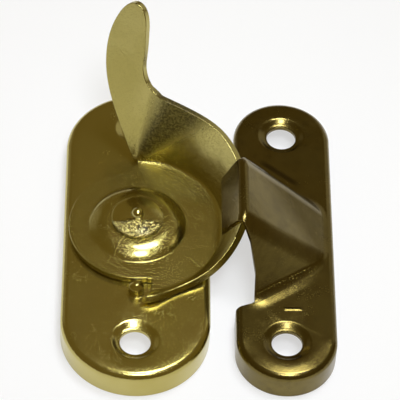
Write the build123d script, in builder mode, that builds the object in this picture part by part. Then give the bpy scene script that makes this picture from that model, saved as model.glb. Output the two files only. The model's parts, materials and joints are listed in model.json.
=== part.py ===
"""Sash lock: a pressed base with a turning cam lever, and its hooded keeper.

Millimetres, +Z up. The origin is on the lever's pivot axis, in the plane that the
base and the keeper are screwed to. +X points from the base to the keeper and +Y
along both plates, to the end where the lever's thumb piece stands when locked.
"""

import os
from math import asin, atan2, cos, degrees, pi, radians, sin, tan

from build123d import *

# Base plate
base_length = 63.5
base_width = 25.4
base_height = 5.2
base_sheet = 0.8
base_edge_round = 1.3
base_hole_spacing = 47.4

# Keeper plate
keeper_length = 61.6
keeper_width = 17.1
keeper_height = 5.2
keeper_sheet = 0.8
keeper_edge_round = 1.2
keeper_hole_spacing = 45.9
keeper_gap = 4.25
keeper_y = -0.3
keeper_x = base_width / 2 + keeper_gap + keeper_width / 2
keeper_inner_x = keeper_x - keeper_width / 2
keeper_outer_x = keeper_x + keeper_width / 2

# Screw holes, each at the bottom of a pressed dimple
screw_hole_r = 2.6
dimple_r = 4.3
dimple_depth = 0.8
dimple_floor = 0.4

# Hood of the keeper: places in X from the keeper's edges, heights from its plate
hood_height = 13.1
crest_setback = 0.65
crest_half_width = 7.0
crest_bend_r = 0.5
lip_reach = 3.3
lip_drop = 5.3
lip_end_half_width = 5.8
roof_foot_inset = 1.4
hood_foot_inset = 3.35
hood_foot_half_width = 14.0
roof_foot_half_width = 5.9
ridge_round = 5.0
crease_round = 2.2
crest_x = keeper_inner_x + crest_setback
crest_z = keeper_height + hood_height
lip_end_x = crest_x - lip_reach
lip_end_z = crest_z - lip_drop
roof_foot_x = keeper_outer_x - roof_foot_inset
hood_foot_x = keeper_inner_x + hood_foot_inset

# Cut that opens the keeper's inner side: from the skirt in to the neck, then up the hood
neck_inset = 0.2
neck_margin = 1.0
neck_rise = 3.7
skirt_step = 1.1
shoulder_run = 1.1
shoulder_half_width = 8.5
neck_round = 0.6
neck_x = hood_foot_x - neck_inset
neck_foot_half_width = hood_foot_half_width + neck_margin
neck_half_width = neck_foot_half_width - neck_rise
skirt_end_half_width = neck_foot_half_width + skirt_step
shoulder_x = neck_x - shoulder_run

# Cam lever
lever_sheet = 1.25
lever_gap = 0.15
disc_margin = 0.9
wall_inset = 3.0
wall_root = 1.2
wall_bend_r = 0.8
disc_r = base_width / 2 - disc_margin
wall_r = crest_x - wall_inset
wall_root_r = disc_r - wall_root
dome_r = 8.4
dome_height = 1.6
dome_flat_r = 4.8

# Rim of the lever's wall: angle round the pivot, run out from the bend, rise over the disc
rim_stations = [
    (-90, 1.3, 0.35),
    (-70, 1.05, 0.25),
    (-50, 1.05, 0.37),
    (-35, 1.75, 1.15),
    (-20, 2.6, 2.7),
    (-5, 3.5, 5.2),
    (10, 3.6, 7.4),
    (25, 3.8, 8.75),
    (42, 4.0, 10.2),
    (58, 3.6, 11.2),
    (72, 3.2, 12.4),
]

# Thumb piece: a flat tongue in a leaning plane, bent softly out of the wall's far end
thumb_foot_inset = 0.15
thumb_foot = (0.5, wall_r - thumb_foot_inset)
thumb_facing = 34.0
thumb_lean = 20.3
# Each station: place across the thumb's plane, height of the rim up it, run of the flat root
thumb_stations = [
    (0.0, 13.5, 4.3),
    (-2.0, 14.2, 6.2),
]
# Outline in the thumb's plane, from its foot up the left edge, over the tip and down
thumb_left_edge = [(-2.8, 0.9), (-6.6, 5.8), (-10.1, 11.2), (-12.15, 19.0), (-11.4, 24.7)]
thumb_tip = (-8.8, 28.1)
thumb_right_edge = [(-5.4, 24.0), (-4.6, 19.7), (-4.2, 17.2), (-3.4, 15.5), (-2.0, 14.2)]
thumb_right_slope = 0.2
thumb_root_slope = -0.45
thumb_corner = (-0.5, -1.3)
# Relief where the disc's edge runs out to the thumb's foot
relief_inset = 0.9
relief_corner = (-0.2, wall_r - relief_inset)
relief_run = 2.4
relief_step = 0.3

# Stop pip pressed up from the base, and the lever's notch that meets it
pip_r = 1.3
pip_distance = 1.9
pip_height = 2.6
pip_y = -disc_r - pip_distance
pip_top = base_height + pip_height
pip_bore_r = 0.7
pip_crown = 0.8
notch_x = 2.7

# Pivot rivet, back washer and bowed spring washer
shank_r = 2.4
lever_bore_clearance = 0.06
seat_clearance = 0.02
head_r = 4.45
head_gap = 0.05
head_edge = 0.5
head_crown = 0.75
nipple_r = 1.1
back_washer_r = 4.4
back_washer_sheet = 0.6
tail_r = 3.4
tail_height = 0.8
spring_washer_r = 5.2
spring_washer_bore_clearance = 0.3
spring_washer_sheet = 0.4
spring_washer_gap = 0.15

# For picking edges: nearness of a place, halfway along an edge, share of a direction
near = 0.01
halfway = 0.5
some = 0.4

# Hollow under the dome, which holds the spring washer
hollow_foot_r = dome_r - lever_sheet / 2
hollow_top_r = spring_washer_r + spring_washer_bore_clearance

# Heights that follow
lever_bottom = base_height + lever_gap
lever_top = lever_bottom + lever_sheet
dome_top = lever_top + dome_height
dome_underside = dome_top - lever_sheet
base_ceiling = base_height - base_sheet
keeper_ceiling = keeper_height - keeper_sheet

os.makedirs("parts", exist_ok=True)


def pressed_pan(length, width, height, sheet, edge_round):
    """Return an obround pan, open underneath, with its long side along Y."""
    plan = Plane(origin=(0, 0, 0), x_dir=(0, 1, 0), z_dir=(0, 0, 1))
    with BuildPart() as form:
        with BuildSketch(plan):
            SlotOverall(length, width)
        extrude(amount=height)
        fillet(form.edges().group_by(Axis.Z)[-1], radius=edge_round)
        with BuildSketch(plan):
            SlotOverall(length - 2 * sheet, width - 2 * sheet)
        extrude(amount=height - sheet, mode=Mode.SUBTRACT)
    return form.part


def press_dimple(x, y, plate_top, sheet):
    """Sink a dimple into the plate being built and pierce its floor for a screw."""
    section = Plane(origin=(x, y, plate_top), x_dir=(1, 0, 0), z_dir=(0, -1, 0))
    axis = Axis((x, y, 0), (0, 0, 1))
    floor_r = screw_hole_r + dimple_floor
    for top, mode in ((-sheet, Mode.ADD), (0, Mode.SUBTRACT)):
        with BuildSketch(section) as slope:
            with BuildLine():
                Polyline(
                    (dimple_r, top),
                    (floor_r, top - dimple_depth),
                    (0, top - dimple_depth),
                    (0, top),
                    close=True,
                )
            make_face()
        revolve(slope.sketch, axis=axis, mode=mode)
    with BuildSketch(Plane(origin=(x, y, plate_top))) as hole:
        Circle(screw_hole_r)
    extrude(hole.sketch, amount=-2 * (sheet + dimple_depth), mode=Mode.SUBTRACT)


# Base plate: a drawn pan with two screw dimples, the rivet's hole and the stop pip
base_pan = pressed_pan(base_length, base_width, base_height, base_sheet, base_edge_round)

with BuildPart() as base_plate:
    add(base_pan)
    for side in (-1, 1):
        press_dimple(0, side * base_hole_spacing / 2, base_height, base_sheet)
    with BuildSketch(Plane.XY.offset(base_ceiling)):
        with Locations((0, pip_y)):
            Circle(pip_r)
    extrude(amount=pip_top - base_ceiling)
    chamfer(base_plate.edges().group_by(Axis.Z)[-1], length=pip_crown)
    with BuildSketch(Plane.XY.offset(base_ceiling)):
        Circle(shank_r + seat_clearance)
        with Locations((0, pip_y)):
            Circle(pip_bore_r)
    extrude(amount=2 * base_sheet, mode=Mode.SUBTRACT)
base_plate.part.label = "base_plate"
export_step(base_plate.part, "parts/base_plate.step")


# Keeper hood: the planes of its roof and of its two flanks
roof_slope = atan2(crest_z - keeper_height, roof_foot_x - crest_x)
roof_plane = Plane(
    origin=(roof_foot_x, keeper_y, keeper_height),
    x_dir=(0, 1, 0),
    z_dir=(sin(roof_slope), 0, cos(roof_slope)),
)

lip_plane = Plane(
    origin=(crest_x, keeper_y, crest_z),
    x_dir=(0, 1, 0),
    z_dir=(-lip_drop, 0, lip_reach),
)


def flank_plane(side):
    """Return the plane of the hood's flank at one end, facing outwards."""
    crest = Vector(crest_x, keeper_y + side * crest_half_width, crest_z)
    foot = Vector(hood_foot_x, keeper_y + side * hood_foot_half_width, keeper_height)
    far_foot = Vector(roof_foot_x, keeper_y + side * roof_foot_half_width, keeper_height)
    normal = (far_foot - crest).cross(foot - crest) * side
    return Plane(origin=foot, x_dir=far_foot - foot, z_dir=normal)


def hood_form(inset, ridge_r, crest_r):
    """Return the hood as a solid tent with rounded ridges, its faces moved in."""
    low = keeper_ceiling - inset
    left = lip_end_x - inset
    with BuildPart() as form:
        with BuildSketch(Plane.XZ.offset(keeper_length / 2)):
            with Locations((left, low)):
                Rectangle(keeper_outer_x - left, 2 * crest_z, align=(Align.MIN, Align.MIN))
        extrude(amount=-keeper_length)
        split(bisect_by=roof_plane.offset(-inset), keep=Keep.BOTTOM)
        for side in (-1, 1):
            split(bisect_by=flank_plane(side).offset(-inset), keep=Keep.BOTTOM)
        ridges = [
            edge
            for edge in form.edges()
            if abs((edge % halfway).X) > some and abs((edge % halfway).Z) > some
        ]
        fillet(ridges, radius=ridge_r)
        split(bisect_by=lip_plane.offset(-inset), keep=Keep.BOTTOM)
        crest = form.edges().filter_by(Axis.Y).sort_by(Axis.Z)[-1]
        fillet(crest, radius=crest_r)
        with BuildSketch(Plane.XY):
            with Locations((keeper_x, keeper_y)):
                Rectangle(2 * keeper_width, 2 * neck_foot_half_width)
        extrude(amount=2 * crest_z, mode=Mode.INTERSECT)
    return form.part


def lip_cut(side):
    """Return one end of the keeper's inner cut, as seen from above."""
    inner = keeper_inner_x - keeper_width / 2
    with BuildSketch(Plane.XY) as cut:
        with BuildLine():
            edge = FilletPolyline(
                (inner, keeper_y + side * lip_end_half_width),
                (lip_end_x, keeper_y + side * lip_end_half_width),
                (crest_x, keeper_y + side * crest_half_width),
                (shoulder_x, keeper_y + side * shoulder_half_width),
                (neck_x, keeper_y + side * neck_half_width),
                (neck_x, keeper_y + side * neck_foot_half_width),
                (keeper_inner_x, keeper_y + side * skirt_end_half_width),
                (inner, keeper_y + side * skirt_end_half_width),
                radius=neck_round,
            )
            Line(edge @ 1, edge @ 0)
        make_face()
    return cut.sketch


keeper_pan = pressed_pan(
    keeper_length, keeper_width, keeper_height, keeper_sheet, keeper_edge_round
)
hood_outside = hood_form(0, ridge_round, crest_bend_r + keeper_sheet)
hood_inside = hood_form(keeper_sheet, ridge_round - keeper_sheet, crest_bend_r)

# Keeper plate: a pan whose middle is drawn up into a hood, with a lip bent over its crest
with BuildPart() as keeper_plate:
    with Locations((keeper_x, keeper_y, 0)):
        add(keeper_pan)
    add(hood_outside)
    creases = [
        edge
        for edge in keeper_plate.edges()
        if abs(edge.center().Z - keeper_height) < near
        and abs((edge % halfway).X) > some
        and abs((edge % halfway).Y) > some
        and edge.geom_type == GeomType.LINE
    ]
    fillet(creases, radius=crease_round)
    add(hood_inside, mode=Mode.SUBTRACT)
    with BuildSketch(Plane.XY):
        with Locations((neck_x, keeper_y)):
            Rectangle(
                keeper_width,
                2 * neck_foot_half_width,
                align=(Align.MAX, Align.CENTER),
            )
    extrude(amount=keeper_height + keeper_sheet, mode=Mode.SUBTRACT)
    for side in (-1, 1):
        with BuildSketch(Plane.XY) as cut:
            add(lip_cut(side))
        extrude(amount=2 * crest_z, mode=Mode.SUBTRACT)
        press_dimple(
            keeper_x,
            keeper_y + side * keeper_hole_spacing / 2,
            keeper_height,
            keeper_sheet,
        )
keeper_plate.part.label = "keeper_plate"
export_step(keeper_plate.part, "parts/keeper_plate.step")

# Cam lever: places of the thumb piece's plane
facing = radians(thumb_facing)
lean = radians(thumb_lean)
thumb_across = Vector(cos(facing), -sin(facing), 0)
thumb_front = Vector(-sin(facing) * cos(lean), -cos(facing) * cos(lean), sin(lean))
thumb_plane = Plane(
    origin=(thumb_foot[0], thumb_foot[1], lever_top),
    x_dir=thumb_across,
    z_dir=thumb_front,
)


def wall_section(bend_x, bend_y, heading, root_run, rim_run, rim_rise):
    """Return the lever's flat root, bend and wall in an upright plane."""
    plane = Plane(
        origin=(bend_x, bend_y, lever_top),
        x_dir=(cos(heading), sin(heading), 0),
        z_dir=(sin(heading), -cos(heading), 0),
    )
    turn = atan2(rim_rise, rim_run)
    with BuildSketch(plane) as section:
        with BuildLine():
            inside = FilletPolyline(
                (-root_run, 0),
                (0, 0),
                (rim_run, rim_rise),
                radius=wall_bend_r,
            )
            outside = FilletPolyline(
                (-root_run, -lever_sheet),
                (lever_sheet * tan(turn / 2), -lever_sheet),
                (rim_run + lever_sheet * sin(turn), rim_rise - lever_sheet * cos(turn)),
                radius=wall_bend_r + lever_sheet,
            )
            Line(inside @ 0, outside @ 0)
            Line(inside @ 1, outside @ 1)
        make_face()
    return section.sketch


wall_sections = []
for angle, rim_run, rim_rise in rim_stations:
    turn_angle = radians(angle)
    wall_sections.append(
        wall_section(
            wall_r * cos(turn_angle),
            wall_r * sin(turn_angle),
            turn_angle,
            wall_r - wall_root_r,
            rim_run,
            rim_rise,
        )
    )
thumb_heading = pi / 2 - facing
for across, up, root_run in thumb_stations:
    start = thumb_plane.from_local_coords((across, 0, 0))
    wall_sections.append(
        wall_section(
            start.X,
            start.Y,
            thumb_heading,
            root_run,
            up * sin(lean),
            up * cos(lean),
        )
    )

# Dome of the lever's disc: a flat middle, and a rounded slope down to the disc
dome_run = dome_r - dome_flat_r
dome_arc_r = (dome_run**2 + dome_height**2) / (2 * dome_height)
dome_centre_z = dome_top - dome_arc_r
dome_foot_angle = degrees(asin((lever_top - dome_centre_z) / dome_arc_r))


# Cam lever: one sheet with a domed disc, a wall that climbs round it and a thumb piece
with BuildPart() as cam_lever:
    loft(wall_sections)
    with BuildSketch(thumb_plane) as thumb_outline:
        with BuildLine():
            left_edge = Spline(*thumb_left_edge)
            tip = Spline(
                left_edge @ 1,
                thumb_tip,
                thumb_right_edge[0],
                tangents=[left_edge % 1, (thumb_right_slope, -1)],
            )
            right_edge = Spline(
                *thumb_right_edge,
                tangents=[(thumb_right_slope, -1), (1, thumb_root_slope)],
            )
            Line(right_edge @ 1, (thumb_stations[-1][0], 0))
            Line((thumb_stations[-1][0], 0), left_edge @ 0)
        make_face()
    extrude(amount=-lever_sheet)
    # The blank's lower edge under the thumb piece, and the relief beside its foot
    with BuildSketch(thumb_plane):
        with BuildLine():
            Polyline(
                thumb_corner,
                thumb_left_edge[0],
                (thumb_left_edge[0][0] - disc_r, thumb_left_edge[0][1]),
                (thumb_left_edge[0][0] - disc_r, -disc_r),
                (thumb_corner[0], -disc_r),
                close=True,
            )
        make_face()
    extrude(amount=2 * lever_sheet, both=True, mode=Mode.SUBTRACT)
    relief_front = thumb_plane.offset(relief_step)
    relief_near = relief_front.from_local_coords((thumb_corner[0], 0, 0))
    relief_far = relief_front.from_local_coords((-disc_r, 0, 0))
    with BuildSketch(Plane.XY.offset(lever_bottom)):
        with BuildLine():
            Polyline(
                (relief_near.X, relief_near.Y),
                relief_corner,
                (relief_corner[0] - relief_run, relief_corner[1] - relief_run),
                (-2 * disc_r, relief_corner[1] - relief_run),
                (relief_far.X, relief_far.Y),
                close=True,
            )
        make_face()
    extrude(amount=lever_sheet + 2 * wall_bend_r, mode=Mode.SUBTRACT)
    with BuildSketch(Plane.XY.offset(lever_bottom)):
        Rectangle(4 * wall_r, 4 * wall_r)
    extrude(amount=-base_height, mode=Mode.SUBTRACT)
    with BuildSketch(Plane.XY.offset(lever_bottom)):
        Circle(disc_r)
    extrude(amount=lever_sheet)
    with BuildSketch(Plane.XZ):
        with BuildLine():
            shoulder = CenterArc(
                (dome_flat_r, dome_centre_z), dome_arc_r, 90, dome_foot_angle - 90
            )
            Polyline(shoulder @ 0, (0, dome_top), (0, lever_top), shoulder @ 1)
        make_face()
    revolve()
    with BuildSketch(Plane.XZ):
        with BuildLine():
            Polyline(
                (0, lever_bottom),
                (hollow_foot_r, lever_bottom),
                (hollow_top_r, dome_underside),
                (0, dome_underside),
                close=True,
            )
        make_face()
    revolve(mode=Mode.SUBTRACT)
    with BuildSketch(Plane.XY.offset(lever_bottom)):
        Circle(shank_r + lever_bore_clearance)
    extrude(amount=dome_top, mode=Mode.SUBTRACT)
    with BuildSketch(Plane.XY.offset(lever_bottom)):
        with BuildLine():
            Polyline(
                (notch_x, -disc_r),
                (notch_x, pip_y),
                (-wall_r, pip_y),
                (-wall_r, -disc_r),
                close=True,
            )
        make_face()
        with Locations((0, pip_y)):
            Circle(notch_x)
        with Locations((-wall_r, pip_y)):
            Rectangle(wall_r, wall_r, align=(Align.MIN, Align.MAX))
        Circle(disc_r, mode=Mode.SUBTRACT)
    extrude(amount=2 * lever_sheet, mode=Mode.SUBTRACT)
cam_lever.part.label = "cam_lever"
export_step(cam_lever.part, "parts/cam_lever.step")


# Pivot rivet: a domed head with a small nipple, its shank and the clinched tail
head_bottom = dome_top + head_gap
crown_top = head_bottom + head_edge + head_crown
tail_top = base_ceiling - back_washer_sheet
# The crown is part of one ball, from the head's edge up to the nipple
crown_centre_z = (
    crown_top**2 + nipple_r**2 - (head_bottom + head_edge) ** 2 - head_r**2
) / (2 * head_crown)
crown_r = (head_r**2 + (head_bottom + head_edge - crown_centre_z) ** 2) ** 0.5
crown_start = degrees(atan2(head_bottom + head_edge - crown_centre_z, head_r))
crown_end = degrees(atan2(crown_top - crown_centre_z, nipple_r))

with BuildPart() as pivot_rivet:
    with BuildSketch(Plane.XZ):
        with BuildLine():
            Polyline(
                (0, tail_top - tail_height),
                (tail_r - tail_height / 2, tail_top - tail_height),
                (tail_r, tail_top - tail_height / 2),
                (tail_r, tail_top),
                (shank_r, tail_top),
                (shank_r, head_bottom),
                (head_r, head_bottom),
                (head_r, head_bottom + head_edge),
            )
            CenterArc((0, crown_centre_z), crown_r, crown_start, crown_end - crown_start)
            CenterArc((0, crown_top), nipple_r, 0, 90)
            Line((0, crown_top + nipple_r), (0, tail_top - tail_height))
        make_face()
    revolve()
pivot_rivet.part.label = "pivot_rivet"
export_step(pivot_rivet.part, "parts/pivot_rivet.step")

# Back washer: a flat ring under the base, between the plate and the rivet's tail
with BuildPart() as back_washer:
    with BuildSketch(Plane.XY.offset(tail_top)):
        Circle(back_washer_r)
        Circle(shank_r + seat_clearance, mode=Mode.SUBTRACT)
    extrude(amount=back_washer_sheet)
back_washer.part.label = "back_washer"
export_step(back_washer.part, "parts/back_washer.step")

# Spring washer: a ring bowed about the Y axis, on the base under the lever's dome
spring_top = dome_underside - spring_washer_gap
with BuildPart() as spring_washer:
    with BuildSketch(Plane.XZ.offset(spring_washer_r)):
        with BuildLine():
            bow = ThreePointArc(
                (-spring_washer_r, base_height),
                (0, spring_top - spring_washer_sheet),
                (spring_washer_r, base_height),
            )
            offset(bow, amount=spring_washer_sheet, side=Side.LEFT)
        make_face()
    extrude(amount=-2 * spring_washer_r)
    with BuildSketch(Plane.XY.offset(base_height)):
        Circle(spring_washer_r)
        Circle(shank_r + spring_washer_bore_clearance, mode=Mode.SUBTRACT)
    extrude(amount=spring_top, mode=Mode.INTERSECT)
spring_washer.part.label = "spring_washer"
export_step(spring_washer.part, "parts/spring_washer.step")
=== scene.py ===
"""Looks of a pressed sash lock: its plated sheets, rivet and washers, and the studio.

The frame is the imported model's: +Z up from the mounting plane, +X from the base to
the keeper, +Y along the plates, the pivot on the Z axis. Finishes and lamps are
measured in metres. Each sheet is worked at a thousand times its size, so its own
sizes are in millimetres, and is then put back to metres.
"""

import json
import logging
from dataclasses import dataclass, field
from enum import Enum
from math import pi, radians

import bpy
from mathutils import Matrix, Vector

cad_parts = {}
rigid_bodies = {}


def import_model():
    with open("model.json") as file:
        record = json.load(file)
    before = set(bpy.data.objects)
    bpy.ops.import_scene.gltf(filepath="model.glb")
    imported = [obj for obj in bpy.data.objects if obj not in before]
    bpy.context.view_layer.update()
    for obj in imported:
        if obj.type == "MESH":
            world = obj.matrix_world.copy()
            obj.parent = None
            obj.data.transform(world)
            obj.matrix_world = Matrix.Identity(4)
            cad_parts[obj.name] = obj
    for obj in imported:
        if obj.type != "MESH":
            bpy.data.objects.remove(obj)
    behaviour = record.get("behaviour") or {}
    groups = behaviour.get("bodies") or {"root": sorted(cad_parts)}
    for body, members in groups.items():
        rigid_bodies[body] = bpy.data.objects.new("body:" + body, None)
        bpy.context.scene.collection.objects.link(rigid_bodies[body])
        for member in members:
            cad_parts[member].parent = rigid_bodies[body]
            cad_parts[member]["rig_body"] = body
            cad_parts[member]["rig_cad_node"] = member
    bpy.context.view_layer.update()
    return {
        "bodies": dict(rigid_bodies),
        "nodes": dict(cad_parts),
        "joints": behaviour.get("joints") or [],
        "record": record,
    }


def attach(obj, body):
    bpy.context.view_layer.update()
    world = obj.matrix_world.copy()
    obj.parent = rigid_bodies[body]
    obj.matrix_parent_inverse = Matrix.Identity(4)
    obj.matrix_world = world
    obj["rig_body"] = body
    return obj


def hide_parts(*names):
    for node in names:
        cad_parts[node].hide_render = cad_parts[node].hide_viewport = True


logging.basicConfig(level=logging.INFO, format="%(name)s: %(message)s")
LOG = logging.getLogger("sash_lock")

METRE = 1000.0

Socket = bpy.types.NodeSocket
Triple = tuple[float, float, float]
Edge = tuple[float, float]  # where a mask is still empty, and where it is full
Relief = list[tuple[Socket, float]]


class Body(Enum):
    """The two bodies of the lock's joint."""

    BASE = "base"
    LEVER = "lever"


class Slot(Enum):
    """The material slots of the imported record."""

    BASE = "plated_base"
    KEEPER = "plated_keeper"
    LEVER = "plated_lever"
    RIVET = "plated_rivet"
    SPRING = "spring_steel"


# Shader building ------------------------------------------------------------


class Wiring:
    """A node tree with short calls for adding and joining its nodes."""

    def __init__(self, tree: bpy.types.NodeTree) -> None:
        """Take a tree to add nodes to."""
        self.tree = tree

    def add(self, kind: str, **settings: object) -> bpy.types.Node:
        """Add one node.

        Args:
            kind: The node's type name.
            settings: Values for its properties.

        Returns:
            The new node.
        """
        node = self.tree.nodes.new(kind)
        for name, value in settings.items():
            setattr(node, name, value)
        return node

    def put(self, source: object, socket: Socket) -> None:
        """Join a socket to an input, or set the input to a plain value.

        Args:
            source: An output socket or a value.
            socket: The input that takes it.
        """
        if isinstance(source, Socket):
            self.tree.links.new(source, socket)
        else:
            socket.default_value = source

    def noise(self, vector: Socket, scale: object, detail: float) -> Socket:
        """Add a noise texture.

        Args:
            vector: The place to read.
            scale: Waves per metre, a number or a socket.
            detail: Number of finer layers.

        Returns:
            The noise's value.
        """
        node = self.add("ShaderNodeTexNoise")
        self.put(vector, node.inputs["Vector"])
        self.put(scale, node.inputs["Scale"])
        node.inputs["Detail"].default_value = detail
        return node.outputs["Fac"]

    def band(self, value: Socket, empty: object, full: object) -> Socket:
        """Map a value smoothly to 0 at one bound and 1 at another.

        Args:
            value: The value to map.
            empty: The bound where the mask is 0, a number or a socket.
            full: The bound where the mask is 1, above or below the other one.

        Returns:
            The mapped value, which stays at 0 and 1 past the bounds.
        """
        node = self.add("ShaderNodeMapRange", interpolation_type="SMOOTHSTEP")
        self.put(value, node.inputs["Value"])
        self.put(empty, node.inputs["From Min"])
        self.put(full, node.inputs["From Max"])
        return node.outputs["Result"]

    def maths(self, operation: str, first: object, second: object = 0.0) -> Socket:
        """Do one operation on one or two values.

        Args:
            operation: The operation's name, such as ADD.
            first: The first value or socket.
            second: The second value or socket, where the operation takes one.

        Returns:
            The result.
        """
        node = self.add("ShaderNodeMath", operation=operation)
        self.put(first, node.inputs[0])
        self.put(second, node.inputs[1])
        return node.outputs[0]

    def times(self, first: object, *others: object) -> Socket:
        """Return the product of two or more values or sockets."""
        for other in others:
            first = self.maths("MULTIPLY", first, other)
        return first

    def blend(self, share: object, first: object, second: object) -> Socket:
        """Mix two colours.

        Args:
            share: The second colour's share, a number or a socket.
            first: The first colour or socket.
            second: The second colour or socket.

        Returns:
            The mixed colour.
        """
        node = self.add("ShaderNodeMix", data_type="RGBA")
        self.put(share, node.inputs["Factor"])
        self.put(first, node.inputs["A"])
        self.put(second, node.inputs["B"])
        return node.outputs["Result"]

    def split(self, vector: Socket) -> list[Socket]:
        """Return a vector's three parts."""
        node = self.add("ShaderNodeSeparateXYZ")
        self.put(vector, node.inputs["Vector"])
        return list(node.outputs)

    def seat(self, vector: Socket, origin: Triple, turn: Triple = (0.0, 0.0, 0.0)) -> Socket:
        """Read a place from an origin and along axes of its own.

        Args:
            vector: The place in the model's frame.
            origin: The new origin, in metres.
            turn: The new axes' turns about X, Y and Z, in degrees.

        Returns:
            The place from there.
        """
        node = self.add("ShaderNodeMapping", vector_type="TEXTURE")
        self.put(vector, node.inputs["Vector"])
        node.inputs["Location"].default_value = origin
        node.inputs["Rotation"].default_value = [radians(angle) for angle in turn]
        return node.outputs["Vector"]

    def place(self, group: bpy.types.NodeTree, **inputs: object) -> Socket:
        """Place a node group.

        Args:
            group: The group's tree.
            inputs: Its inputs by name, values or sockets.

        Returns:
            The group's result.
        """
        node = self.add("ShaderNodeGroup", node_tree=group)
        for name, value in inputs.items():
            self.put(value, node.inputs[name])
        return node.outputs[0]


def new_group(name: str, output: str, *values: str) -> tuple[Wiring, dict[str, Socket], Socket]:
    """Make an empty node group that reads a place and puts out one value.

    Args:
        name: The group's name.
        output: The name of its output.
        values: The names of its value inputs, which follow its Vector input.

    Returns:
        Its wiring, its inputs by name, and the socket that takes its result.
    """
    tree = bpy.data.node_groups.new(name, "ShaderNodeTree")
    tree.interface.new_socket("Vector", in_out="INPUT", socket_type="NodeSocketVector")
    for title in values:
        tree.interface.new_socket(title, in_out="INPUT", socket_type="NodeSocketFloat")
    tree.interface.new_socket(output, in_out="OUTPUT", socket_type="NodeSocketFloat")
    wiring = Wiring(tree)
    given = wiring.add("NodeGroupInput").outputs
    return wiring, dict(given.items()), wiring.add("NodeGroupOutput").inputs[output]


class Effects:
    """The surface effects that the finishes share, each a node group built once.

    Scales and shares here are parts of the group's own Scale and height.
    """

    fine_wave_scale: float = 4.3
    fine_wave_share: float = 0.22
    dot_edge: Edge = (0.34, 0.12)
    patch_scale: float = 0.09
    patch_limit: float = 0.78
    patch_softness: float = 0.16
    scratch_runs: tuple[tuple[float, float], ...] = ((24.0, 22.0), (-41.0, 30.0), (83.0, 26.0))
    scratch_tilt: tuple[float, float] = (11.0, 7.0)
    scratch_limit: float = 0.86
    scratch_softness: float = 0.03
    cloud_edge: Edge = (0.38, 0.66)
    grain_edge: Edge = (0.52, 0.70)
    end_edge: Edge = (0.0, 0.004)

    def __init__(self) -> None:
        """Build every group."""
        self.ripple = self.build_ripple()
        self.speckle = self.build_speckle()
        self.scratch = self.build_scratch()
        self.cloud = self.build_cloud()
        self.grain = self.build_grain()
        self.rim_fall = self.build_rim_fall()

    def build_ripple(self) -> bpy.types.NodeTree:
        """Return the group for the low waves that pressing leaves in a sheet."""
        wiring, given, result = new_group("press_ripple", "Height", "Scale")
        wide = wiring.noise(given["Vector"], given["Scale"], 1.0)
        close = wiring.noise(given["Vector"], wiring.times(given["Scale"], self.fine_wave_scale), 2.0)
        wiring.put(wiring.maths("ADD", wide, wiring.times(close, self.fine_wave_share)), result)
        return wiring.tree

    def build_speckle(self) -> bpy.types.NodeTree:
        """Return the group for small pits in the plating, in patches."""
        wiring, given, result = new_group("plating_speckle", "Mask", "Scale", "Cover")
        cells = wiring.add("ShaderNodeTexVoronoi")
        wiring.put(given["Vector"], cells.inputs["Vector"])
        wiring.put(given["Scale"], cells.inputs["Scale"])
        dots = wiring.band(cells.outputs["Distance"], *self.dot_edge)
        patch = wiring.noise(given["Vector"], wiring.times(given["Scale"], self.patch_scale), 2.0)
        start = wiring.maths("SUBTRACT", self.patch_limit, given["Cover"])
        spread = wiring.band(patch, start, wiring.maths("ADD", start, self.patch_softness))
        wiring.put(wiring.times(dots, spread), result)
        return wiring.tree

    def build_scratch(self) -> bpy.types.NodeTree:
        """Return the group for thin handling scratches in three directions."""
        wiring, given, result = new_group("handling_scratch", "Mask", "Scale", "Cover")
        total: object = 0.0
        for turn, stretch in self.scratch_runs:
            mapping = wiring.add("ShaderNodeMapping")
            angles = (*self.scratch_tilt, turn)
            mapping.inputs["Rotation"].default_value = [radians(angle) for angle in angles]
            mapping.inputs["Scale"].default_value = (1.0, stretch, stretch)
            wiring.put(given["Vector"], mapping.inputs["Vector"])
            line = wiring.noise(mapping.outputs["Vector"], given["Scale"], 0.0)
            start = wiring.maths("SUBTRACT", self.scratch_limit, given["Cover"])
            mask = wiring.band(line, start, wiring.maths("ADD", start, self.scratch_softness))
            total = wiring.maths("MAXIMUM", mask, total)
        wiring.put(total, result)
        return wiring.tree

    def build_cloud(self) -> bpy.types.NodeTree:
        """Return the group for wide cloudy patches in the lacquer."""
        wiring, given, result = new_group("lacquer_cloud", "Mask", "Scale")
        cloud = wiring.noise(given["Vector"], given["Scale"], 3.0)
        wiring.put(wiring.band(cloud, *self.cloud_edge), result)
        return wiring.tree

    def build_grain(self) -> bpy.types.NodeTree:
        """Return the group for the fine grain that drawing brings up in a sheet."""
        wiring, given, result = new_group("drawn_grain", "Height", "Scale")
        grain = wiring.noise(given["Vector"], given["Scale"], 2.0)
        wiring.put(wiring.band(grain, *self.grain_edge), result)
        return wiring.tree

    def build_rim_fall(self) -> bpy.types.NodeTree:
        """Return the group for the soft fall of a plate's top to the rims of its round ends.

        Its place is read from the plate's middle, with the plate's long side along Y.
        """
        wiring, given, result = new_group("rim_fall", "Height", "Straight", "Radius", "Width")
        across, along, _ = wiring.split(given["Vector"])
        past = wiring.maths("SUBTRACT", wiring.maths("ABSOLUTE", along), given["Straight"])
        past = wiring.maths("MAXIMUM", past, 0.0)
        squares = wiring.maths("ADD", wiring.times(across, across), wiring.times(past, past))
        inside = wiring.maths("SUBTRACT", given["Radius"], wiring.maths("SQRT", squares))
        rim = wiring.band(inside, given["Width"], 0.0)
        ends = wiring.band(past, *self.end_edge)
        wiring.put(wiring.times(rim, ends, -1.0), result)
        return wiring.tree


# Finishes -------------------------------------------------------------------


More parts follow.
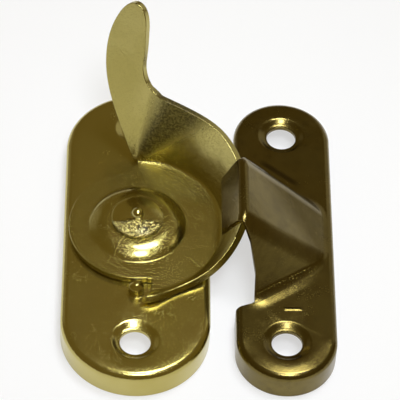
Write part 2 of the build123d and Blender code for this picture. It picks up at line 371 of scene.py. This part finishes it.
@dataclass(frozen=True)
class PlatedFinish:
    """Bright brass plating over pressed steel.

    The colours are linear; heights are in metres and scales in waves per metre.
    """

    name: str
    colour: Triple
    deep_colour: Triple
    pit_colour: Triple
    roughness: float = 0.17
    rough_patch: float = 0.06
    pit_rough: float = 0.2
    coat: float = 0.12
    coat_roughness: float = 0.1
    cloud_scale: float = 70.0
    ripple_scale: float = 120.0
    ripple_height: float = 0.00008
    speckle_scale: float = 3400.0
    speckle_cover: float = 0.22
    speckle_height: float = 0.000006
    scratch_scale: float = 110.0
    scratch_cover: float = 0.02
    scratch_share: float = 0.6
    # Colour of darker marks, and of the painted shade that some finishes lay on.
    mark_and_shade_colour: Triple = (0.11, 0.092, 0.03)
    mark_roughness: float = 0.3
    grain_scale: float = 4200.0
    grain_height: float = 0.000004

    def relief(self, wiring: Wiring, effects: Effects, place: Socket) -> Relief:
        """Return further heights of this finish alone, each with its depth in metres.

        Args:
            wiring: The material's nodes.
            effects: The shared node groups.
            place: The place in the model's frame.

        Returns:
            Pairs of a height and its depth.
        """
        return []

    def marks_and_painted_shade(self, wiring: Wiring, place: Socket) -> Socket | None:
        """Return a mask of darker, duller plating, for marks and for painted shade, or None where the
        finish has none.

        Args:
            wiring: The material's nodes.
            place: The place in the model's frame.

        Returns:
            The mask, or None.
        """
        return None

    def make(self, effects: Effects) -> bpy.types.Material:
        """Build the material.

        Args:
            effects: The shared node groups.

        Returns:
            The finished material.
        """
        material = bpy.data.materials.new(self.name)
        material.use_nodes = True
        wiring = Wiring(material.node_tree)
        shader = material.node_tree.nodes["Principled BSDF"]
        place = wiring.add("ShaderNodeTexCoord").outputs["Object"]
        cloud = wiring.place(effects.cloud, Vector=place, Scale=self.cloud_scale)
        pits = wiring.place(
            effects.speckle, Vector=place, Scale=self.speckle_scale, Cover=self.speckle_cover
        )
        # Darker marks, some of them painted shade.
        marks_and_painted_shade = self.marks_and_painted_shade(wiring, place)
        self.colour_in(wiring, shader, cloud, pits, marks_and_painted_shade)
        self.roughen(wiring, shader, cloud, pits, marks_and_painted_shade)
        shader.inputs["Metallic"].default_value = 1.0
        shader.inputs["Coat Weight"].default_value = self.coat
        shader.inputs["Coat Roughness"].default_value = self.coat_roughness
        self.emboss(wiring, shader, effects, place, pits)
        return material

    def colour_in(
        self, wiring: Wiring, shader: bpy.types.Node, cloud: Socket, pits: Socket, marks_and_painted_shade: Socket | None
    ) -> None:
        """Give the shader its base colour.

        Args:
            wiring: The material's nodes.
            shader: The shader.
            cloud: The mask of the deeper colour.
            pits: The mask of the pits.
            marks_and_painted_shade: The mask of the darker marks and the painted shade, or None.
        """
        plate = wiring.blend(cloud, (*self.colour, 1.0), (*self.deep_colour, 1.0))
        marked = wiring.blend(pits, plate, (*self.pit_colour, 1.0))
        if marks_and_painted_shade is not None:
            marked = wiring.blend(marks_and_painted_shade, marked, (*self.mark_and_shade_colour, 1.0))
        wiring.put(marked, shader.inputs["Base Color"])

    def roughen(
        self, wiring: Wiring, shader: bpy.types.Node, cloud: Socket, pits: Socket, marks_and_painted_shade: Socket | None
    ) -> None:
        """Give the shader its roughness.

        Args:
            wiring: The material's nodes.
            shader: The shader.
            cloud: The mask of the rougher patches.
            pits: The mask of the pits.
            marks_and_painted_shade: The mask of the duller marks and the painted shade, or None.
        """
        rough = wiring.add("ShaderNodeMapRange")
        wiring.put(cloud, rough.inputs["Value"])
        rough.inputs["To Min"].default_value = self.roughness
        rough.inputs["To Max"].default_value = self.roughness + self.rough_patch
        marked = wiring.maths("ADD", rough.outputs["Result"], wiring.times(pits, self.pit_rough))
        if marks_and_painted_shade is not None:
            marked = wiring.maths("ADD", marked, wiring.times(marks_and_painted_shade, self.mark_roughness))
        wiring.put(marked, shader.inputs["Roughness"])

    def emboss(
        self, wiring: Wiring, shader: bpy.types.Node, effects: Effects, place: Socket, pits: Socket
    ) -> None:
        """Give the shader its normal, from a chain of bumps.

        Args:
            wiring: The material's nodes.
            shader: The shader.
            effects: The shared node groups.
            place: The place in the model's frame.
            pits: The mask of the pits.
        """
        lines = wiring.place(
            effects.scratch, Vector=place, Scale=self.scratch_scale, Cover=self.scratch_cover
        )
        wave = wiring.place(effects.ripple, Vector=place, Scale=self.ripple_scale)
        marks = wiring.maths("SUBTRACT", wiring.times(lines, self.scratch_share), pits)
        grain = wiring.place(effects.grain, Vector=place, Scale=self.grain_scale)
        heights = [(wave, self.ripple_height), (marks, self.speckle_height), (grain, self.grain_height)]
        normal = None
        for height, depth in heights + self.relief(wiring, effects, place):
            bump = wiring.add("ShaderNodeBump")
            bump.inputs["Distance"].default_value = depth
            wiring.put(height, bump.inputs["Height"])
            if normal is not None:
                wiring.put(normal, bump.inputs["Normal"])
            normal = bump.outputs["Normal"]
        wiring.put(normal, shader.inputs["Normal"])


@dataclass(frozen=True)
class RimFall:
    """The soft fall of a plate's top to its round ends, in metres."""

    middle: Triple
    straight: float
    radius: float
    width: float
    depth: float

    def relief(self, wiring: Wiring, effects: Effects, place: Socket) -> Relief:
        """Return the fall's height and depth.

        Args:
            wiring: The material's nodes.
            effects: The shared node groups.
            place: The place in the model's frame.

        Returns:
            One pair of a height and its depth.
        """
        plate = wiring.seat(place, self.middle)
        fall = wiring.place(
            effects.rim_fall, Vector=plate, Straight=self.straight, Radius=self.radius, Width=self.width
        )
        return [(fall, self.depth)]


@dataclass(frozen=True)
class Oblong:
    """A soft-edged oblong mark on a plate's top, in metres and degrees."""

    middle: Triple
    turn: float
    reach: Edge
    side: Edge

    def mask(self, wiring: Wiring, place: Socket) -> Socket:
        """Return the mark's mask.

        Args:
            wiring: The material's nodes.
            place: The place in the model's frame.

        Returns:
            The mask, full in the mark's middle.
        """
        along, across, _ = wiring.split(wiring.seat(place, self.middle, (0.0, 0.0, self.turn)))
        reach = wiring.band(wiring.maths("ABSOLUTE", along), *self.reach)
        return wiring.times(reach, wiring.band(wiring.maths("ABSOLUTE", across), *self.side))


@dataclass(frozen=True)
class BasePlating(PlatedFinish):
    """The base's plating, whose top falls softly to the round ends."""

    fall: RimFall = RimFall((0.0, 0.0, 0.0), 0.01905, 0.0127, 0.0022, 0.00011)

    def relief(self, wiring: Wiring, effects: Effects, place: Socket) -> Relief:
        """Return the fall to the ends' rims."""
        return self.fall.relief(wiring, effects, place)


@dataclass(frozen=True)
class KeeperPlating(PlatedFinish):
    """The keeper's plating, with the marks of drawing up its hood.

    The crease runs along the foot of the hood's near flank. The swell lies beside it,
    and the chatter is a row of small ticks on it.
    """

    fall: RimFall = RimFall((0.0255, -0.0003, 0.0), 0.02225, 0.00855, 0.0036, 0.00033)
    crease_start: Triple = (0.0203, -0.0143, 0.0052)
    crease_turn: float = 33.3
    swell_depth: float = 0.0008
    swell_side: Edge = (0.0030, -0.0008)
    swell_start: Edge = (-0.0025, 0.0015)
    swell_end: Edge = (0.0150, 0.0030)
    chatter_depth: float = 0.00009
    chatter_step: float = 0.00062
    chatter_near: Edge = (-0.0003, -0.0001)
    chatter_far: Edge = (0.0008, 0.0)
    chatter_start: Edge = (-0.0005, 0.0010)
    chatter_end: Edge = (0.0140, 0.0100)
    shake_scale: float = 900.0
    shake_reach: float = 0.0009
    line: Oblong = Oblong((0.0266, -0.01655, 0.0052), 1.5, (0.0017, 0.0013), (0.0004, 0.0))
    line_depth: float = 0.00012
    # A painted dark reflection along the foot of the hood's far flank.
    painted_reflection_streak: Oblong = Oblong((0.0250, 0.0136, 0.0052), -38.7, (0.0053, 0.00265), (0.0008, 0.0002))
    painted_reflection_share: float = 0.8
    worn_scale: float = 700.0
    worn_edge: Edge = (0.42, 0.78)
    worn_share: float = 0.3

    def marks_and_painted_shade(self, wiring: Wiring, place: Socket) -> Socket | None:
        """Return the painted dark reflection, a streak along the foot of the hood's far flank, and the
        worn patches.
        """
        painted_reflection_streak = wiring.times(self.painted_reflection_streak.mask(wiring, place), self.painted_reflection_share)
        worn = wiring.band(wiring.noise(place, self.worn_scale, 6.0), *self.worn_edge)
        return wiring.maths("MAXIMUM", painted_reflection_streak, wiring.times(worn, self.worn_share))

    def relief(self, wiring: Wiring, effects: Effects, place: Socket) -> Relief:
        """Return the fall to the ends, the swell and chatter at the crease, and a short line."""
        crease = wiring.seat(place, self.crease_start, (0.0, 0.0, self.crease_turn))
        along, across, _ = wiring.split(crease)
        away = wiring.times(across, -1.0)
        swell = wiring.times(
            wiring.band(away, *self.swell_side),
            wiring.band(along, *self.swell_start),
            wiring.band(along, *self.swell_end),
        )
        shake = wiring.times(wiring.noise(place, self.shake_scale, 1.0), self.shake_reach)
        phase = wiring.times(wiring.maths("ADD", along, shake), 2.0 * pi / self.chatter_step)
        chatter = wiring.times(
            wiring.maths("MAXIMUM", wiring.maths("SINE", phase), 0.0),
            wiring.band(away, *self.chatter_near),
            wiring.band(away, *self.chatter_far),
            wiring.band(along, *self.chatter_start),
            wiring.band(along, *self.chatter_end),
        )
        return self.fall.relief(wiring, effects, place) + [
            (swell, self.swell_depth),
            (chatter, self.chatter_depth),
            (self.line.mask(wiring, place), self.line_depth),
        ]


@dataclass(frozen=True)
class LeverPlating(PlatedFinish):
    """The lever's plating, grained, with a rougher wedge between the thumb piece and the wall whose
    darker colour is a painted dark reflection.

    The wedge stands on its foot, leans, and widens upwards.
    """

    wedge_foot: Triple = (0.0006, 0.0153, 0.0078)
    wedge_lean: float = 31.0
    wedge_start: float = 0.0012
    wedge_widening: float = 0.34
    wedge_least: float = 0.0001
    wedge_side: Edge = (1.15, 0.35)
    wedge_rise: Edge = (-0.0005, 0.0012)
    wedge_back: Edge = (0.011, 0.0135)
    ragged_scale: float = 2600.0
    ragged_gain: float = 1.7

    def marks_and_painted_shade(self, wiring: Wiring, place: Socket) -> Socket | None:
        """Return the wedge between the thumb piece and the wall, rougher and darkened by a painted dark
        reflection.
        """
        # A painted dark reflection, laid on as darker colour over the wedge.
        seat = wiring.seat(place, self.wedge_foot, (0.0, self.wedge_lean, 0.0))
        across, _, up = wiring.split(seat)
        half = wiring.maths("ADD", wiring.times(up, self.wedge_widening), self.wedge_start)
        half = wiring.maths("MAXIMUM", half, self.wedge_least)
        share = wiring.maths("DIVIDE", wiring.maths("ABSOLUTE", across), half)
        _, along, _ = wiring.split(place)
        ragged = wiring.times(wiring.noise(place, self.ragged_scale, 3.0), self.ragged_gain)
        return wiring.times(
            wiring.band(share, *self.wedge_side),
            wiring.band(up, *self.wedge_rise),
            wiring.band(along, *self.wedge_back),
            wiring.maths("MINIMUM", ragged, 1.0),
        )


@dataclass(frozen=True)
class RivetPlating(PlatedFinish):
    """The rivet's plating, with the rough crescent that the spinning tool left."""

    scar_scale: float = 2800.0
    scar_depth: float = 0.00035
    scar_side: Edge = (-0.0008, -0.0018)
    dark_scale: float = 2240.0
    dark_edge: Edge = (0.50, 0.60)
    dark_side: Edge = (-0.0006, -0.0014)

    def marks_and_painted_shade(self, wiring: Wiring, place: Socket) -> Socket | None:
        """Return the dark grains of painted shade among the crescent's bright ones."""
        _, along, _ = wiring.split(place)
        painted_shade_grains = wiring.band(wiring.noise(place, self.dark_scale, 2.0), *self.dark_edge)
        return wiring.times(painted_shade_grains, wiring.band(along, *self.dark_side))

    def relief(self, wiring: Wiring, effects: Effects, place: Socket) -> Relief:
        """Return the rough crescent on the head's near side."""
        _, along, _ = wiring.split(place)
        scar = wiring.noise(place, self.scar_scale, 2.0)
        return [(wiring.times(scar, wiring.band(along, *self.scar_side)), self.scar_depth)]


BASE_PLATING = BasePlating(
    "plated_base",
    (0.50, 0.43, 0.15),
    (0.44, 0.37, 0.10),
    (0.30, 0.24, 0.065),
    grain_height=0.000007,
)
KEEPER_PLATING = KeeperPlating(
    "plated_keeper",
    (0.178, 0.136, 0.038),
    (0.145, 0.11, 0.028),
    (0.095, 0.073, 0.018),
    roughness=0.2,
    # Colour of the worn patches, and of the painted dark reflection on the far flank.
    mark_and_shade_colour=(0.06, 0.04, 0.014),
    mark_roughness=0.0,
)
LEVER_PLATING = LeverPlating(
    "plated_lever",
    (0.46, 0.40, 0.135),
    (0.405, 0.345, 0.10),
    (0.30, 0.245, 0.065),
    speckle_cover=0.2,
    grain_scale=5000.0,
    grain_height=0.000010,
)
RIVET_PLATING = RivetPlating(
    "plated_rivet",
    (0.52, 0.455, 0.17),
    (0.44, 0.38, 0.13),
    (0.29, 0.24, 0.07),
    # Colour of the painted shade among the crescent's grains.
    mark_and_shade_colour=(0.17, 0.14, 0.05),
    mark_roughness=0.0,
)
# Paler plating for every rounded edge: worn plating, and a painted highlight along the edges.
EDGE_WEAR_AND_PAINTED_HIGHLIGHT = PlatedFinish(
    "edge_wear_and_painted_highlight",
    (0.72, 0.68, 0.44),
    (0.60, 0.56, 0.34),
    (0.38, 0.34, 0.17),
    roughness=0.2,
)
SPRING_STEEL = PlatedFinish(
    "spring_steel",
    (0.46, 0.46, 0.47),
    (0.38, 0.38, 0.39),
    (0.25, 0.25, 0.26),
    roughness=0.3,
)


# Sheet work -----------------------------------------------------------------


def only(piece: bpy.types.Object) -> None:
    """Make one object the only selected one and the active one."""
    bpy.ops.object.select_all(action="DESELECT")
    piece.select_set(True)
    bpy.context.view_layer.objects.active = piece


@dataclass
class Part:
    """One piece of the lock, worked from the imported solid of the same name.

    Its sizes are in millimetres and its angles in degrees.
    """

    node: str
    piece_name: str
    body: Body
    slot: Slot
    finish: PlatedFinish
    edge_round: float = 0.12
    edge_segments: int = 3
    edge_angle: float = 38.0
    flat_angle: float = 0.6
    corner_angle: float = 180.0
    merge_gap: float = 0.002
    piece: bpy.types.Object | None = field(default=None, repr=False)

    def build(self, frame: dict) -> None:
        """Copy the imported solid, work it, and put it in the solid's place.

        Args:
            frame: The loaded frame.
        """
        self.piece = self.take_copy(frame["nodes"][self.node])
        self.round_edges()
        self.piece.data.transform(Matrix.Scale(1.0 / METRE, 4))
        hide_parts(self.node)
        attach(self.piece, self.body.value)
        LOG.info("%s: %d faces", self.piece_name, len(self.piece.data.polygons))

    def take_copy(self, source: bpy.types.Object) -> bpy.types.Object:
        """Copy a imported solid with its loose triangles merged, a thousand times as large.

        Args:
            source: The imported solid's object.

        Returns:
            The copy, which rides on nothing yet.
        """
        only(source)
        bpy.ops.object.duplicate()
        piece = bpy.context.object
        piece.name = self.piece_name
        piece.parent = None
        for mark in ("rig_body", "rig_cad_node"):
            del piece[mark]
        piece.data.transform(Matrix.Scale(METRE, 4))
        piece.data.materials.clear()
        only(piece)
        bpy.ops.object.mode_set(mode="EDIT")
        bpy.ops.mesh.select_all(action="SELECT")
        bpy.ops.mesh.customdata_custom_splitnormals_clear()
        bpy.ops.mesh.remove_doubles(threshold=self.merge_gap)
        bpy.ops.mesh.tris_convert_to_quads(
            face_threshold=radians(self.flat_angle), shape_threshold=radians(self.corner_angle)
        )
        bpy.ops.object.mode_set(mode="OBJECT")
        return piece

    def round_edges(self) -> None:
        """Round the sheet's sharp edges, and let flat faces keep flat shading."""
        only(self.piece)
        bpy.ops.object.shade_smooth()
        bevel = self.piece.modifiers.new("edges", "BEVEL")
        bevel.width = self.edge_round
        bevel.segments = self.edge_segments
        bevel.limit_method = "ANGLE"
        bevel.angle_limit = radians(self.edge_angle)
        bevel.use_clamp_overlap = False
        # The rounded edges take the paler plating, partly a painted highlight.
        bevel.material = 1
        bevel.miter_outer = "MITER_ARC"
        bpy.ops.object.modifier_apply(modifier=bevel.name)
        weight = self.piece.modifiers.new("weight", "WEIGHTED_NORMAL")
        weight.keep_sharp = True
        bpy.ops.object.modifier_apply(modifier=weight.name)

    def dress(self, effects: Effects, made: dict[str, bpy.types.Material]) -> None:
        """Give the piece its plating, and its rounded edges the paler one, worn plating with a painted
        highlight.

        Args:
            effects: The shared node groups.
            made: Materials by name, which this adds to.
        """
        for finish in (self.finish, EDGE_WEAR_AND_PAINTED_HIGHLIGHT):
            if finish.name not in made:
                made[finish.name] = finish.make(effects)
            self.piece.data.materials.append(made[finish.name])


PARTS = (
    Part("base_plate", "base_sheet", Body.BASE, Slot.BASE, BASE_PLATING),
    Part("keeper_plate", "keeper_sheet", Body.BASE, Slot.KEEPER, KEEPER_PLATING),
    Part("cam_lever", "lever_sheet", Body.LEVER, Slot.LEVER, LEVER_PLATING),
    Part("pivot_rivet", "rivet", Body.BASE, Slot.RIVET, RIVET_PLATING),
    Part("back_washer", "rear_washer", Body.BASE, Slot.SPRING, SPRING_STEEL, edge_round=0.05),
    Part("spring_washer", "bowed_washer", Body.BASE, Slot.SPRING, SPRING_STEEL, edge_round=0.05),
)


# Studio ---------------------------------------------------------------------


@dataclass(frozen=True)
class Lamp:
    """One soft square lamp, in metres, degrees and watts."""

    name: str
    place: Triple
    target: Triple
    size: float
    spread: float
    power: float

    def hang(self, colour: Triple) -> None:
        """Add the lamp, facing its target.

        Args:
            colour: The colour of its light.
        """
        bpy.ops.object.select_all(action="DESELECT")
        bpy.ops.object.light_add(type="AREA", location=self.place)
        lamp = bpy.context.object
        lamp.name = self.name
        lamp.data.shape = "SQUARE"
        lamp.data.size = self.size
        lamp.data.spread = radians(self.spread)
        lamp.data.energy = self.power
        lamp.data.color = colour
        aim = Vector(self.target) - Vector(self.place)
        lamp.rotation_euler = aim.to_track_quat("-Z", "Y").to_euler()


@dataclass
class Studio:
    """Floor, lights and camera.

    The camera's place is in millimetres and its other three vectors are its own axes.
    """

    camera_place: Triple = (-5.515, -297.078, 367.302)
    camera_right: Triple = (0.99908, -0.00298, 0.04285)
    camera_up: Triple = (-0.02526, 0.76608, 0.64225)
    camera_ahead: Triple = (0.03474, 0.64274, -0.76529)
    lens: float = 243.7
    sensor: float = 36.0
    near_clip: float = 0.01
    floor_size: float = 6.0
    floor_height: float = -0.0002
    floor_colour: Triple = (0.93, 0.93, 0.92)
    floor_roughness: float = 0.9
    floor_lift: float = 0.6
    room_colour: Triple = (0.202, 0.150, 0.052)
    lamp_colour: Triple = (0.95, 1.0, 1.10)
    lamps: tuple[Lamp, ...] = (
        Lamp("top", (0.07, 0.05, 0.43), (0.005, 0.0, 0.0), 0.13, 64.0, 0.12),
        Lamp("front", (0.05, -0.195, 0.49), (0.005, 0.01, 0.0), 0.14, 64.0, 0.16),
        Lamp("right", (0.34, 0.38, 0.20), (0.0, 0.0, 0.0), 0.34, 180.0, 0.13),
        Lamp("left", (-0.38, 0.36, 0.16), (0.0, 0.0, 0.0), 0.28, 180.0, 0.035),
    )

    def build(self) -> None:
        """Build the whole studio."""
        self.build_floor()
        self.build_room()
        for lamp in self.lamps:
            lamp.hang(self.lamp_colour)
        self.add_camera()
        LOG.info("studio: a floor, %d lamps and a camera", len(self.lamps))

    def build_floor(self) -> None:
        """Lay the pale floor just under the mounting plane."""
        bpy.ops.object.select_all(action="DESELECT")
        bpy.ops.mesh.primitive_plane_add(size=self.floor_size, location=(0.0, 0.0, self.floor_height))
        floor = bpy.context.object
        floor.name = "floor"
        material = bpy.data.materials.new("pale_floor")
        material.use_nodes = True
        shader = material.node_tree.nodes["Principled BSDF"]
        shader.inputs["Base Color"].default_value = (*self.floor_colour, 1.0)
        shader.inputs["Roughness"].default_value = self.floor_roughness
        shader.inputs["Specular IOR Level"].default_value = 0.0
        self.whiten(material, shader)
        floor.data.materials.append(material)

    def whiten(self, material: bpy.types.Material, shader: bpy.types.Node) -> None:
        """Lift the floor towards white where the camera, metal or glass sees it.

        Args:
            material: The floor's material.
            shader: The shader that the floor is lit by.
        """
        wiring = Wiring(material.node_tree)
        path = wiring.add("ShaderNodeLightPath")
        seen = path.outputs["Is Camera Ray"]
        for ray in ("Is Glossy Ray", "Is Transmission Ray"):
            seen = wiring.maths("MAXIMUM", seen, path.outputs[ray])
        white = wiring.add("ShaderNodeEmission")
        mix = wiring.add("ShaderNodeMixShader")
        wiring.put(wiring.times(seen, self.floor_lift), mix.inputs["Fac"])
        wiring.put(shader.outputs["BSDF"], mix.inputs[1])
        wiring.put(white.outputs["Emission"], mix.inputs[2])
        wiring.put(mix.outputs["Shader"], material.node_tree.nodes["Material Output"].inputs["Surface"])

    def build_room(self) -> None:
        """Set the plain dim room round the studio."""
        world = bpy.data.worlds.new("room")
        bpy.context.scene.world = world
        world.use_nodes = True
        ground = world.node_tree.nodes["Background"]
        ground.inputs["Color"].default_value = (*self.room_colour, 1.0)
        ground.inputs["Strength"].default_value = 1.0

    def add_camera(self) -> None:
        """Set the camera where the photograph was taken from."""
        bpy.ops.object.select_all(action="DESELECT")
        bpy.ops.object.camera_add()
        camera = bpy.context.object
        camera.data.lens = self.lens
        camera.data.sensor_width = self.sensor
        camera.data.clip_start = self.near_clip
        columns = (self.camera_right, self.camera_up, -Vector(self.camera_ahead))
        turn = Matrix([list(row) for row in zip(*columns)]).to_4x4()
        camera.matrix_world = Matrix.Translation(Vector(self.camera_place) / METRE) @ turn
        bpy.context.scene.camera = camera


def main() -> None:
    """Build the lock's pieces in order, dress them and set up the studio."""
    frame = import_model()
    effects = Effects()
    made: dict[str, bpy.types.Material] = {}
    for part in PARTS:
        part.build(frame)
        part.dress(effects, made)
    Studio().build()
    bpy.context.scene.view_settings.view_transform = "Standard"


if __name__ == "__main__":
    main()
